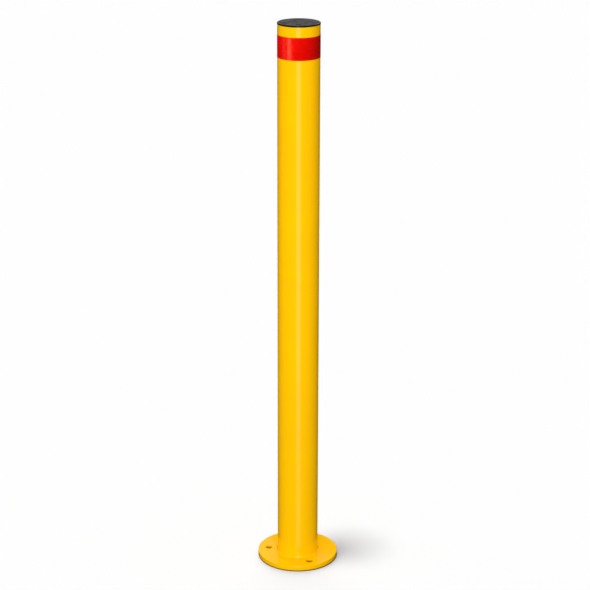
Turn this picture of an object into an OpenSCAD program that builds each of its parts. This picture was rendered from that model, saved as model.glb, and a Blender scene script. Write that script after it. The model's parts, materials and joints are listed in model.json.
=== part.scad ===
// Surface-mounted bollard: a steel tube welded upright on a round floor plate, closed at the
// top by a moulded end cap and marked by one reflective band.
// The origin is the centre of the plate's underside, on the floor. +Z runs up the post's axis.

/* [Post tube] */
// Height of the tube's upper end above the floor
post_h = 1200; // [600:10:1500]
// Outside diameter of the tube
tube_d = 88.9; // [76.1:0.1:104]
// Wall thickness of the tube
tube_wall = 4; // [2.5:0.1:6]

/* [Floor plate] */
// Diameter of the round plate
plate_d = 176; // [156:1:260]
// Thickness of the plate
plate_t = 12; // [6:0.5:20]
// Radius that breaks the plate's rim, above and below
plate_rim_r = 1; // [0.5:0.1:2.5]

/* [Anchor holes] */
// Number of anchor holes, spread evenly on their circle
hole_count = 3; // [3:1:6]
// Diameter of each hole, with clearance for a 12 mm anchor
hole_d = 15; // [9:0.5:18]
// Diameter of the circle that the hole centres lie on
hole_circle_d = 130; // [120:1:150]
// Direction of the first hole, from +X towards +Y
hole_first_angle = 60; // [0:5:120]

/* [Weld] */
// Leg of the fillet weld, up the tube and out over the plate
weld_leg = 4; // [2:0.5:6]

/* [End cap] */
// How far the cap's head stands out past the tube, all round
cap_overhang = 0.45; // [0:0.05:2]
// Thickness of the head
cap_head_t = 3.5; // [3.5:0.1:8]
// Radius of the head's upper rim
cap_rim_r = 1.4; // [0.6:0.1:1.7]
// Depth of the hollow plug below the head
plug_depth = 26; // [20:1:40]
// Gap between the plug's wall and the tube's bore, which the fins bridge
plug_gap = 4.5; // [3:0.1:7]
// Wall thickness of the plug
plug_wall = 2.5; // [1.5:0.1:4]
// Number of flexible fins round the plug
fin_count = 4; // [2:1:5]
// Number of stiffening ribs inside the plug
rib_count = 6; // [3:1:8]

/* [Reflective band] */
// Width of the band along the post
band_w = 47; // [25:0.5:100]
// Distance from the tube's upper end down to the band
band_drop = 21; // [5:1:100]
// Thickness of the tape
band_t = 0.3; // [0.2:0.05:0.8]
// Angle over which the tape's end laps its start
band_lap_angle = 16; // [5:1:30]
// Middle of that lap, from +X towards +Y
band_lap_at = 90; // [0:5:355]

/* [Hidden] */
$fn = 128;

steel_yellow = "#FDC300";
cap_black = "#2C2C2E";
band_red = "#E01410";

tube_r = tube_d / 2;
bore_r = tube_r - tube_wall;

// The weld's face is slightly hollow: an arc through both toes, centred this many legs out.
weld_face_centre = 1.25;

// The head's lower rim is only broken, because it closes on the tube's end.
cap_low_rim_r = 0.4;
head_r = tube_r + cap_overhang;
plug_r = bore_r - plug_gap;
plug_lead_in = 1.2;

// The fins are swept up towards the head, as they lie once the plug is driven in.
fins_start = 4.5;
fins_end = plug_depth - 1.5;
fin_pitch = (fins_end - fins_start) / fin_count;
fin_sweep = 1.6;
fin_root_t = 1.2;
fin_tip_t = 0.8;

rib_t = 1.8;
rib_depth = 14;
hub_r = 5;

// Half section of a disc with rounded rims, for turning about the post's axis
module disc_section(r, t, low_rim_r, top_rim_r) {
    translate([0, low_rim_r]) square([r, t - low_rim_r - top_rim_r]);
    square([r - low_rim_r, t / 2]);
    translate([0, t / 2]) square([r - top_rim_r, t / 2]);
    translate([r - low_rim_r, low_rim_r]) circle(r = low_rim_r);
    translate([r - top_rim_r, t - top_rim_r]) circle(r = top_rim_r);
}

// Ring between two radii, standing on z = 0 and open right through
module ring(outer_r, inner_r, h) {
    difference() {
        cylinder(r = outer_r, h = h);
        translate([0, 0, -1]) cylinder(r = inner_r, h = h + 2);
    }
}

// Round plate with its anchor holes drilled right through
module base_plate() {
    color(steel_yellow)
    difference() {
        rotate_extrude() disc_section(plate_d / 2, plate_t, plate_rim_r, plate_rim_r);
        for (i = [0 : hole_count - 1])
            rotate([0, 0, hole_first_angle + i * 360 / hole_count])
            translate([hole_circle_d / 2, 0, -1])
                cylinder(d = hole_d, h = plate_t + 2);
    }
}

// Tube cut square at both ends and standing on the plate
module post_tube() {
    color(steel_yellow)
    translate([0, 0, plate_t])
        ring(tube_r, bore_r, post_h - plate_t);
}

// One fillet weld run all round the tube's foot
module weld_bead() {
    face_centre = weld_face_centre * weld_leg;
    face_r = norm([face_centre, face_centre - weld_leg]);
    color(steel_yellow)
    translate([0, 0, plate_t])
    rotate_extrude()
    translate([tube_r, 0])
    difference() {
        square(weld_leg);
        translate([face_centre, face_centre]) circle(r = face_r);
    }
}

// Half section of one fin, rooted in the plug's wall at height z and touching the bore
module fin_section(z) {
    root_r = plug_r - plug_wall / 2;
    polygon([
        [root_r, z],
        [bore_r, z + fin_sweep],
        [bore_r, z + fin_sweep + fin_tip_t],
        [root_r, z + fin_root_t]
    ]);
}

// Half section of the plug's wall and fins, below the head's seat at z = 0
module plug_section() {
    difference() {
        translate([plug_r - plug_wall, -plug_depth]) square([plug_wall, plug_depth]);
        translate([plug_r, -plug_depth]) rotate(45) square(plug_lead_in, center = true);
    }
    for (i = [0 : fin_count - 1])
        fin_section(-fins_start - (i + 0.5) * fin_pitch);
}

// Ribs that run from a centre hub to the plug's wall, under the head
module plug_ribs() {
    rib_reach = plug_r - plug_wall / 2;
    translate([0, 0, -rib_depth]) {
        cylinder(r = hub_r, h = rib_depth);
        for (i = [0 : rib_count - 1])
            rotate([0, 0, i * 360 / rib_count])
            translate([0, -rib_t / 2, 0])
                cube([rib_reach, rib_t, rib_depth]);
    }
}

// Moulded end cap: a flat head that seats on the tube's end, over a finned hollow plug
module end_cap() {
    color(cap_black)
    translate([0, 0, post_h]) {
        rotate_extrude() {
            disc_section(head_r, cap_head_t, cap_low_rim_r, cap_rim_r);
            plug_section();
        }
        plug_ribs();
    }
}

// Wedge from the post's axis that holds the lap, long enough to pass through the tape
module lap_wedge() {
    reach = 2 * tube_r;
    half_width = reach * tan(band_lap_angle / 2);
    rotate(band_lap_at)
        polygon([[0, 0], [reach, -half_width], [reach, half_width]]);
}

// Tape wound once round the post, its end lapped over its start
module reflective_tape() {
    color(band_red)
    translate([0, 0, post_h - band_drop - band_w])
    linear_extrude(band_w)
    difference() {
        union() {
            circle(r = tube_r + band_t);
            intersection() {
                circle(r = tube_r + 2 * band_t);
                lap_wedge();
            }
        }
        circle(r = tube_r);
    }
}

base_plate();
post_tube();
weld_bead();
end_cap();
reflective_tape();
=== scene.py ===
"""Looks of a surface-mounted bollard.

Builds the coated floor plate, tube and weld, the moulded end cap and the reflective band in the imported
frame, then the studio and the camera. All lengths are in metres, in the frame of the part.
"""

import json
import logging
import math
from collections.abc import Mapping, Sequence
from dataclasses import dataclass
from enum import Enum
from functools import cache

import bmesh
import bpy
from mathutils import Matrix, Vector


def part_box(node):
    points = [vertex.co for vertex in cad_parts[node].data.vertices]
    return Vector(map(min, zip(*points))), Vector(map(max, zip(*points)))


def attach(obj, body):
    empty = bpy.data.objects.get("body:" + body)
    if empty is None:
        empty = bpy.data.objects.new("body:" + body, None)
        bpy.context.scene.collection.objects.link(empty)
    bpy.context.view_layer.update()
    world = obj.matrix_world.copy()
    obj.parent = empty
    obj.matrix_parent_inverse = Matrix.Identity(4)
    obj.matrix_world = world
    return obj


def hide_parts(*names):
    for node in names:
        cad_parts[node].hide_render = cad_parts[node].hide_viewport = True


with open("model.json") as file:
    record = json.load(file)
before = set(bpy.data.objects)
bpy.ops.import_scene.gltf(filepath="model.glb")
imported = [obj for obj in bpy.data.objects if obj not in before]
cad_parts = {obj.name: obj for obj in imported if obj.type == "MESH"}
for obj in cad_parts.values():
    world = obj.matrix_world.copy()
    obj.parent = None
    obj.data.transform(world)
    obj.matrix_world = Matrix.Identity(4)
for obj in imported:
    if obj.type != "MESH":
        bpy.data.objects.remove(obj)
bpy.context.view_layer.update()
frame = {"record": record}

log = logging.getLogger("bollard")

MM = 0.001
BODY = "root"
NODE_SPACING = 200
MERGE_DISTANCE = 0.002 * MM
SHARP_EDGE = math.radians(32)
POLYMER_IOR = 1.5

Point = tuple[float, float]
Triple = tuple[float, float, float]
Colour = tuple[float, float, float, float]
Socket = bpy.types.NodeSocket
Number = Socket | float
Place = Socket | Triple

ORIGIN: Triple = (0.0, 0.0, 0.0)


class Slot(Enum):
    """Material slots of the record."""

    COAT = "yellow_coat"
    PLASTIC = "black_plastic"
    REFLECTIVE = "red_reflective"


class Mixed(Enum):
    """What a Mix node can mix, each with the numbers of its two inputs and of its output."""

    VECTOR = (4, 5, 1)
    RGBA = (6, 7, 2)


def add_object(name: str, data: bpy.types.ID) -> bpy.types.Object:
    """Makes an object and puts it into the scene.

    Args:
        name: The object's name.
        data: Its mesh, lamp or camera.

    Returns:
        The new object.
    """
    item = bpy.data.objects.new(name, data)
    bpy.context.scene.collection.objects.link(item)
    return item


class NodeBuilder:
    """Adds nodes to one tree and joins them as they are added."""

    def __init__(self, tree: bpy.types.NodeTree) -> None:
        """Works on one shader, geometry or world tree."""
        self.tree = tree

    def add(
        self, kind: str, inputs: Mapping[int | str, object] | None = None, **settings: object
    ) -> bpy.types.Node:
        """Adds one node.

        Args:
            kind: The node's type, as Blender names it.
            inputs: A socket to link from, or a value to set, for each input.
            **settings: The node's own options, such as its operation.

        Returns:
            The new node.
        """
        node = self.tree.nodes.new(kind)
        node.location = (NODE_SPACING * len(self.tree.nodes), 0)
        for name, value in settings.items():
            setattr(node, name, value)
        for key, value in (inputs or {}).items():
            if isinstance(value, Socket):
                self.tree.links.new(value, node.inputs[key])
            else:
                node.inputs[key].default_value = value
        return node

    def result(
        self, kind: str, inputs: Mapping[int | str, object] | None = None, **settings: object
    ) -> Socket:
        """Adds one node, as add does, and returns its first output."""
        return self.add(kind, inputs, **settings).outputs[0]

    def maths(self, operation: str, *values: Number, clamp: bool = False) -> Socket:
        """Adds a Math node and returns its result, which clamp holds between 0 and 1."""
        inputs = dict(enumerate(values))
        return self.result("ShaderNodeMath", inputs, operation=operation, use_clamp=clamp)

    def vector_maths(self, operation: str, *values: Place) -> Socket:
        """Adds a Vector Math node and returns its result, a number for LENGTH and DOT_PRODUCT."""
        node = self.add("ShaderNodeVectorMath", dict(enumerate(values)), operation=operation)
        return node.outputs["Value" if operation in ("LENGTH", "DOT_PRODUCT") else "Vector"]

    def combine(self, x: Number, y: Number, z: Number) -> Socket:
        """Joins three numbers into a vector and returns it."""
        return self.result("ShaderNodeCombineXYZ", {"X": x, "Y": y, "Z": z})

    def split(self, vector: Socket) -> bpy.types.NodeOutputs:
        """Splits a vector and returns its numbers X, Y and Z."""
        return self.add("ShaderNodeSeparateXYZ", {"Vector": vector}).outputs

    def flattened(self, place: Socket) -> Socket:
        """Returns a place with its height taken to 0."""
        return self.vector_maths("MULTIPLY", place, (1.0, 1.0, 0.0))

    def ramp(self, value: Socket, start: float, end: float, low: float = 0.0, high: float = 1.0) -> Socket:
        """Maps a number smoothly, so that start and all before it give low, and end and all past it high."""
        limits = {"Value": value, "From Min": start, "From Max": end, "To Min": low, "To Max": high}
        return self.result("ShaderNodeMapRange", limits, interpolation_type="SMOOTHSTEP")

    def blend(self, factor: Number, first: object, second: object, kind: Mixed = Mixed.RGBA) -> Socket:
        """Mixes two colours or two vectors.

        Args:
            factor: How much of the second one shows, from 0 to 1.
            first: The first one or its socket.
            second: The second one or its socket.
            kind: What is mixed.

        Returns:
            The socket with the mixed colour or vector.
        """
        first_input, second_input, output = kind.value
        inputs = {0: factor, first_input: first, second_input: second}
        return self.add("ShaderNodeMix", inputs, data_type=kind.name).outputs[output]


class GroupBuilder(NodeBuilder):
    """A node group with named inputs and outputs."""

    def __init__(self, name: str, kind: str) -> None:
        """Starts an empty group, whose kind is ShaderNodeTree or GeometryNodeTree."""
        super().__init__(bpy.data.node_groups.new(name, kind))
        self.entry = self.add("NodeGroupInput")

    def take(self, name: str, kind: str = "NodeSocketFloat") -> Socket:
        """Adds a named input and returns the socket that holds it inside the group."""
        self.tree.interface.new_socket(name, in_out="INPUT", socket_type=kind)
        return self.entry.outputs[name]

    def take_scale(self, size_name: str) -> Socket:
        """Adds a named input for a pattern's size and returns the scale that gives that size."""
        return self.maths("DIVIDE", 1.0, self.take(size_name))

    def give(self, results: Mapping[str, Socket]) -> bpy.types.NodeTree:
        """Adds the named outputs, which are all numbers.

        Args:
            results: The socket that feeds each output.

        Returns:
            The finished group.
        """
        for name in results:
            self.tree.interface.new_socket(name, in_out="OUTPUT", socket_type="NodeSocketFloat")
        self.add("NodeGroupOutput", results)
        return self.tree


class GeometryTree(GroupBuilder):
    """A Geometry Nodes tree that makes one piece, with the value of each of its named inputs."""

    def __init__(self, name: str) -> None:
        """Starts the tree with its two geometry sockets.

        Args:
            name: The tree's name.
        """
        super().__init__(name, "GeometryNodeTree")
        self.values: dict[str, object] = {}
        self.tree.is_modifier = True
        self.tree.interface.new_socket("Geometry", in_out="OUTPUT", socket_type="NodeSocketGeometry")
        self.seed = self.take("Geometry", "NodeSocketGeometry")

    def size(self, name: str, value: float) -> Socket:
        """Adds a named number with the piece's value and returns its socket."""
        self.values[name] = value
        return self.take(name)

    def count(self, name: str, value: int) -> Socket:
        """Adds a named whole number with the piece's value and returns its socket."""
        self.values[name] = value
        return self.take(name, "NodeSocketInt")

    def profile(self) -> Socket:
        """Returns the line that the tree starts from, as a curve to sweep."""
        return self.result("GeometryNodeMeshToCurve", {"Mesh": self.seed})

    def line(self, count: Number) -> Socket:
        """Adds a line of a number of points, all still at the origin, and returns it."""
        return self.result("GeometryNodeMeshLine", {"Count": count, "Offset": ORIGIN})

    def even_turn(self, count: Socket, first: Number = 0.0) -> Socket:
        """Returns the turn of each point of a line, spread evenly round the axis from the first one."""
        step = self.maths("DIVIDE", math.tau, count)
        return self.maths("MULTIPLY_ADD", self.result("GeometryNodeInputIndex"), step, first)

    def round_place(self, turn: Socket, radius: Number, height: Number) -> Socket:
        """Works out a place round the vertical axis.

        Args:
            turn: The turn from +X towards +Y.
            radius: The distance from the axis.
            height: The height above the floor.

        Returns:
            The socket with the place.
        """
        across = self.maths("MULTIPLY", self.maths("COSINE", turn), radius)
        along = self.maths("MULTIPLY", self.maths("SINE", turn), radius)
        return self.combine(across, along, height)

    def placed(self, geometry: Socket, place: Socket) -> Socket:
        """Puts each point of a geometry at its own place and returns the geometry."""
        return self.result("GeometryNodeSetPosition", {"Geometry": geometry, "Position": place})

    def moved(self, geometry: Socket, offset: Place) -> Socket:
        """Shifts a geometry by a vector and returns it."""
        return self.result("GeometryNodeTransform", {"Geometry": geometry, "Translation": offset})

    def repeated(self, geometry: Socket, points: Socket, **turns: Socket) -> Socket:
        """Repeats a geometry at each point, turned where a Rotation is given, and returns them all."""
        inputs = {"Points": points, "Instance": geometry, **turns}
        return self.result("GeometryNodeInstanceOnPoints", inputs)

    def merged(self, geometry: Socket) -> Socket:
        """Merges the points of a geometry that lie in one place and returns the geometry."""
        inputs = {"Geometry": geometry, "Distance": MERGE_DISTANCE}
        return self.result("GeometryNodeMergeByDistance", inputs)

    def marked(self, geometry: Socket, name: str, value: Socket) -> Socket:
        """Keeps a number at each point of a geometry, as a named attribute, and returns the geometry."""
        inputs = {"Geometry": geometry, "Name": name, "Value": value}
        return self.result("GeometryNodeStoreNamedAttribute", inputs, data_type="FLOAT", domain="POINT")

    def joined(self, *parts: Socket) -> Socket:
        """Joins geometries.

        Args:
            *parts: The geometries.

        Returns:
            The socket with all of them.
        """
        node = self.add("GeometryNodeJoinGeometry")
        for part in parts:
            self.tree.links.new(part, node.inputs[0])
        return node.outputs[0]

    def circle(self, radius: Number, segments: Number) -> Socket:
        """Adds a circle about the vertical axis, anticlockwise, and returns the curve."""
        sizes = {"Resolution": segments, "Radius": radius}
        return self.result("GeometryNodeCurvePrimitiveCircle", sizes, mode="RADIUS")

    def rounded(self, curve: Socket, radius: Number, steps: Number) -> Socket:
        """Rounds the corners of a curve, each in a number of steps, and returns the curve."""
        inputs = {"Curve": curve, "Count": steps, "Radius": radius}
        return self.result("GeometryNodeFilletCurve", inputs, mode="POLY")

    def turned(self, profile: Socket, radius: Socket, segments: Socket) -> Socket:
        """Sweeps a profile round the vertical axis at a radius, and returns the mesh."""
        return self.swept(profile, self.circle(radius, segments), False)

    def swept(self, profile: Socket, path: Socket, capped: bool) -> Socket:
        """Sweeps a profile along a level path.

        Args:
            profile: A curve whose X is the distance outwards from the path, and whose Y is the height.
            path: The curve to follow, which runs anticlockwise about the vertical axis.
            capped: Whether the ends of an open path are closed.

        Returns:
            The socket with the mesh.
        """
        upright = self.result("GeometryNodeSetCurveNormal", {"Curve": path}, mode="Z_UP")
        half_turn = self.result("FunctionNodeEulerToRotation", {"Euler": (math.pi, 0.0, 0.0)})
        facing = self.result("GeometryNodeTransform", {"Geometry": profile, "Rotation": half_turn})
        inputs = {"Curve": upright, "Profile Curve": facing, "Fill Caps": capped}
        return self.result("GeometryNodeCurveToMesh", inputs)

    def finish(self, geometry: Socket, material: bpy.types.Material) -> None:
        """Merges, shades and colours the result and ends the tree.

        Args:
            geometry: The socket with the whole piece.
            material: The piece's finish.
        """
        whole = self.merged(self.result("GeometryNodeRealizeInstances", {"Geometry": geometry}))
        smooth = self.result("GeometryNodeSetShadeSmooth", {"Geometry": whole}, domain="FACE")
        angle = self.add("GeometryNodeInputMeshEdgeAngle").outputs["Unsigned Angle"]
        soft = self.result("FunctionNodeCompare", {"A": angle, "B": SHARP_EDGE}, operation="LESS_THAN")
        creases = {"Geometry": smooth, "Shade Smooth": soft}
        creased = self.result("GeometryNodeSetShadeSmooth", creases, domain="EDGE")
        finish = self.take("Material", "NodeSocketMaterial")
        self.values["Material"] = material
        done = self.result("GeometryNodeSetMaterial", {"Geometry": creased, "Material": finish})
        self.add("NodeGroupOutput", {"Geometry": done})

    def grow(
        self, name: str, geometry: Socket, material: bpy.types.Material, seed: bpy.types.Mesh
    ) -> bpy.types.Object:
        """Ends the tree, runs it once and keeps the result as a plain mesh.

        Args:
            name: The new piece's name.
            geometry: The socket with the whole piece.
            material: The piece's finish.
            seed: The mesh that the tree starts from.

        Returns:
            The piece, whose faces all point outwards.
        """
        self.finish(geometry, material)
        start = add_object(f"{name}_seed", seed)
        modifier = start.modifiers.new(self.tree.name, "NODES")
        modifier.node_group = self.tree
        for entry in self.tree.interface.items_tree:
            if entry.in_out == "INPUT" and entry.name in self.values:
                modifier[entry.identifier] = self.values[entry.name]
        graph = bpy.context.evaluated_depsgraph_get()
        evaluated = start.evaluated_get(graph)
        mesh = bpy.data.meshes.new_from_object(evaluated, preserve_all_data_layers=True, depsgraph=graph)
        mesh.name = name
        bpy.data.objects.remove(start)
        shape = bmesh.new()
        shape.from_mesh(mesh)
        bmesh.ops.recalc_face_normals(shape, faces=shape.faces)
        shape.to_mesh(mesh)
        shape.free()
        return add_object(name, mesh)


def dress(piece: bpy.types.Object, node: str) -> bpy.types.Object:
    """Puts a finished piece in the place of a node of the frame.

    Args:
        piece: The piece.
        node: The node that it stands for.

    Returns:
        The same piece.
    """
    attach(piece, BODY)
    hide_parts(node)
    return piece


@dataclass(frozen=True)
class Section:
    """Half section of a turned piece, as points of radius and height.

    Attributes:
        points: The points in order.
        closed: Whether the last point joins the first.
    """

    points: Sequence[Point]
    closed: bool

    def seed(self, path_radius: float) -> bpy.types.Mesh:
        """Makes the line that a geometry tree sweeps.

        Args:
            path_radius: The radius of the circle that it will follow.

        Returns:
            A mesh of edges, its X measured from the circle and its Y from the floor.
        """
        mesh = bpy.data.meshes.new("section")
        places = [(radius - path_radius, height, 0.0) for radius, height in self.points]
        edges = [(i, i + 1) for i in range(len(places) - 1)]
        if self.closed:
            edges.append((len(places) - 1, 0))
        mesh.from_pydata(places, edges, [])
        return mesh


def arc(centre: Point, radius: float, start: float, end: float, steps: int) -> list[Point]:
    """Returns the points of an arc from one direction in degrees to another, both ends included."""
    turns = [math.radians(start + (end - start) * i / steps) for i in range(steps + 1)]
    return [(centre[0] + radius * math.cos(turn), centre[1] + radius * math.sin(turn)) for turn in turns]


def node_radius(node: str) -> float:
    """Returns the outer radius of a round node, from its box."""
    low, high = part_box(node)
    return (high.x - low.x) / 2


class Texture:
    """Shader groups for the finishes, each built once."""

    @staticmethod
    @cache
    def broad_mottle() -> bpy.types.NodeTree:
        """Builds a slow change over a surface.

        Returns:
            The group, with the inputs Vector and Patch size and the output Tone from 0 to 1.
        """
        fineness = 3.0
        usual_values = (0.3, 0.7)
        group = GroupBuilder("broad_mottle", "ShaderNodeTree")
        place = group.take("Vector", "NodeSocketVector")
        inputs = {"Vector": place, "Scale": group.take_scale("Patch size"), "Detail": fineness}
        noise = group.add("ShaderNodeTexNoise", inputs).outputs["Fac"]
        return group.give({"Tone": group.ramp(noise, *usual_values)})

    @staticmethod
    @cache
    def fine_grain() -> bpy.types.NodeTree:
        """Builds the small bumps of a skin.

        Returns:
            The group, with the inputs Vector, Grain size and Sharpness and the output Height from 0 to 1.
        """
        group = GroupBuilder("fine_grain", "ShaderNodeTree")
        place = group.take("Vector", "NodeSocketVector")
        scale = group.take_scale("Grain size")
        inputs = {"Vector": place, "Scale": scale, "Detail": group.take("Sharpness")}
        return group.give({"Height": group.add("ShaderNodeTexNoise", inputs).outputs["Fac"]})

    @staticmethod
    @cache
    def hexagon_cells() -> bpy.types.NodeTree:
        """Builds a honeycomb in the plane, measured in cell widths.

        Returns:
            The group, with the inputs Vector and Cell width and the outputs Seam distance and Cell tone.
        """
        half_width = 0.5
        grid_step = (1.0, math.sqrt(3), 1.0)
        half_step = (half_width, math.sqrt(3) / 2, 0.0)
        snap_step = (0.1, 0.1, 1.0)
        half_snap = (0.05, 0.05, 0.0)
        group = GroupBuilder("hexagon_cells", "ShaderNodeTree")
        place = group.take("Vector", "NodeSocketVector")
        scale = group.take_scale("Cell width")
        point = group.vector_maths("MULTIPLY", place, group.combine(scale, scale, 0.0))

        # The cells' centres are the points of two equal grids, and the nearer centre is the point's own.
        offsets = []
        for shift in (ORIGIN, half_step):
            row = group.vector_maths("DIVIDE", group.vector_maths("SUBTRACT", point, shift), grid_step)
            part = group.vector_maths("MULTIPLY", group.vector_maths("FRACTION", row), grid_step)
            offsets.append(group.vector_maths("SUBTRACT", part, half_step))
        first_is_nearer = group.maths("LESS_THAN", *(group.vector_maths("LENGTH", item) for item in offsets))
        offset = group.blend(first_is_nearer, offsets[1], offsets[0], Mixed.VECTOR)
        folded = group.vector_maths("ABSOLUTE", offset)
        slanted = group.vector_maths("DOT_PRODUCT", folded, half_step)
        widest = group.maths("MAXIMUM", slanted, group.split(folded)["X"])
        seam = group.maths("SUBTRACT", half_width, widest)

        # The centre is snapped to a grid, so that every point of one cell gets the same tone.
        centre = group.vector_maths("ADD", group.vector_maths("SUBTRACT", point, offset), half_snap)
        snapped = group.vector_maths("SNAP", centre, snap_step)
        tone = group.result("ShaderNodeTexWhiteNoise", {"Vector": snapped})
        return group.give({"Seam distance": seam, "Cell tone": tone})


class FinishBuilder(NodeBuilder):
    """A material with one Principled shader, ready for its textures."""

    def __init__(self, name: str, roughness: float, **sockets: object) -> None:
        """Starts the material.

        Args:
            name: The material's name.
            roughness: The shader's roughness where nothing is linked to it.
            **sockets: Other values of the shader, their names written with underscores.
        """
        self.material = bpy.data.materials.new(name)
        self.material.use_nodes = True
        super().__init__(self.material.node_tree)
        self.shader = self.tree.nodes["Principled BSDF"]
        self.shader.inputs["Roughness"].default_value = roughness
        for key, value in sockets.items():
            self.shader.inputs[key.replace("_", " ")].default_value = value

    def object_place(self) -> Socket:
        """Returns the socket with the point's place on its piece."""
        return self.add("ShaderNodeTexCoord").outputs["Object"]

    def attribute(self, name: str) -> Socket:
        """Returns the socket with a number that the piece keeps at its points."""
        return self.add("ShaderNodeAttribute", attribute_name=name, attribute_type="GEOMETRY").outputs["Fac"]

    def mottle(self, place: Socket, patch_size: float) -> Socket:
        """Places the broad mottle and returns its tone."""
        inputs = {"Vector": place, "Patch size": patch_size}
        return self.result("ShaderNodeGroup", inputs, node_tree=Texture.broad_mottle())

    def grain(self, place: Socket, grain_size: float, sharpness: float) -> Socket:
        """Places the fine grain and returns its height."""
        inputs = {"Vector": place, "Grain size": grain_size, "Sharpness": sharpness}
        return self.result("ShaderNodeGroup", inputs, node_tree=Texture.fine_grain())

    def cells(self, place: Socket, cell_width: float) -> bpy.types.NodeOutputs:
        """Places the honeycomb and returns its Seam distance and its Cell tone."""
        inputs = {"Vector": place, "Cell width": cell_width}
        return self.add("ShaderNodeGroup", inputs, node_tree=Texture.hexagon_cells()).outputs

    def feed(self, name: str, value: Socket) -> None:
        """Links a value to one of the shader's sockets."""
        self.tree.links.new(value, self.shader.inputs[name])

    def raise_surface(self, height: Socket, depth: float) -> None:
        """Adds relief: a height from 0 to 1 and the real depth of the full relief."""
        bump = self.result("ShaderNodeBump", {"Strength": 1.0, "Distance": depth, "Height": height})
        self.feed("Normal", bump)


@dataclass(frozen=True)
class PowderCoat:
    """Glossy baked powder coat with a fine orange peel, with shade painted into its colour along the plate's
    foot and down the anchor holes.

    Attributes:
        colour: The coat's main colour.
        thin_colour: Its colour where the coat lies a little thinner.
        painted_shade_colour: A dark colour painted in as shade down an anchor hole and along the plate's
            foot.
        foot_reach: The heights on the plate's rim between which the painted shade fades out to the full coat.
        roughness: The least and the most roughness.
        peel_size: The width of one bump of the orange peel.
        peel_depth: The height of the orange peel.
        peel_sharpness: How fine the detail on each bump is.
        patch_size: The width of the slow changes in tone and gloss.
    """

    colour: Colour = (0.95, 0.507, 0.0004, 1.0)
    thin_colour: Colour = (0.93, 0.487, 0.0004, 1.0)
    painted_shade_colour: Colour = (0.2, 0.085, 0.001, 1.0)
    foot_reach: tuple[float, float] = (2.3 * MM, 2.9 * MM)
    roughness: tuple[float, float] = (0.075, 0.11)
    peel_size: float = 1.7 * MM
    peel_depth: float = 0.0035 * MM
    peel_sharpness: float = 1.0
    patch_size: float = 60 * MM

    def material(self) -> bpy.types.Material:
        """Builds the material, with shade painted into it along the plate's foot and down the anchor holes.

        Returns:
            The coat for the plate, the weld and the tube.
        """
        builder = FinishBuilder("yellow_powder_coat", self.roughness[0], IOR=POLYMER_IOR)
        place = builder.object_place()
        tone = builder.mottle(place, self.patch_size)
        coat = builder.blend(tone, self.colour, self.thin_colour)
        # Painted shade: the colour darkens along the plate's foot and down each anchor hole, where shade
        # falls.
        foot = builder.ramp(builder.split(place)["Z"], *self.foot_reach, 1.0, 0.0)
        painted_shade_area = builder.maths("MAXIMUM", builder.attribute(FloorPlate.BORE_SHADE), foot)
        builder.feed("Base Color", builder.blend(painted_shade_area, coat, self.painted_shade_colour))
        builder.feed("Roughness", builder.ramp(tone, 0.0, 1.0, *self.roughness))
        builder.raise_surface(builder.grain(place, self.peel_size, self.peel_sharpness), self.peel_depth)
        return builder.material


@dataclass(frozen=True)
class MouldedPlastic:
    """Black moulded plastic with the fine matt skin that its tool leaves.

    Attributes:
        radius: The radius of the cap's head.
        border_width: The width of the border whose skin gets smoother towards the head's rim.
        border_roughness: The border's roughness at the rim.
        colour: The plastic's colour.
        worn_colour: Its colour where the skin is a little greyer.
        roughness: The least and the most roughness inside the border.
        skin_range: The mean of tone and grain that gives the least roughness, and that gives the most.
        grain_size: The width of one grain of the skin.
        grain_depth: The height of the grain.
        grain_sharpness: How fine the detail on each grain is.
        patch_size: The width of the slow changes in tone.
    """

    radius: float
    border_width: float
    border_roughness: float = 0.12
    colour: Colour = (0.008, 0.008, 0.009, 1.0)
    worn_colour: Colour = (0.02, 0.02, 0.021, 1.0)
    roughness: tuple[float, float] = (0.24, 0.40)
    skin_range: tuple[float, float] = (0.3, 0.7)
    grain_size: float = 0.45 * MM
    grain_depth: float = 0.006 * MM
    grain_sharpness: float = 3.0
    patch_size: float = 18 * MM

    def material(self) -> bpy.types.Material:
        """Builds the material.

        Returns:
            The plastic for the cap.
        """
        builder = FinishBuilder("black_moulded_plastic", self.roughness[0], IOR=POLYMER_IOR)
        place = builder.object_place()
        tone = builder.mottle(place, self.patch_size)
        grain = builder.grain(place, self.grain_size, self.grain_sharpness)
        reach = builder.vector_maths("LENGTH", builder.flattened(place))
        face = builder.ramp(reach, self.radius - self.border_width, self.radius, 1.0, 0.0)
        worn = builder.maths("MULTIPLY", tone, face)
        builder.feed("Base Color", builder.blend(worn, self.colour, self.worn_colour))
        mean = builder.maths("MULTIPLY", builder.maths("ADD", tone, grain), 0.5)
        skin = builder.ramp(mean, *self.skin_range, *self.roughness)
        rougher = builder.maths("SUBTRACT", skin, self.border_roughness)
        builder.feed("Roughness", builder.maths("MULTIPLY_ADD", rougher, face, self.border_roughness))
        builder.raise_surface(grain, self.grain_depth)
        return builder.material


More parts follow.
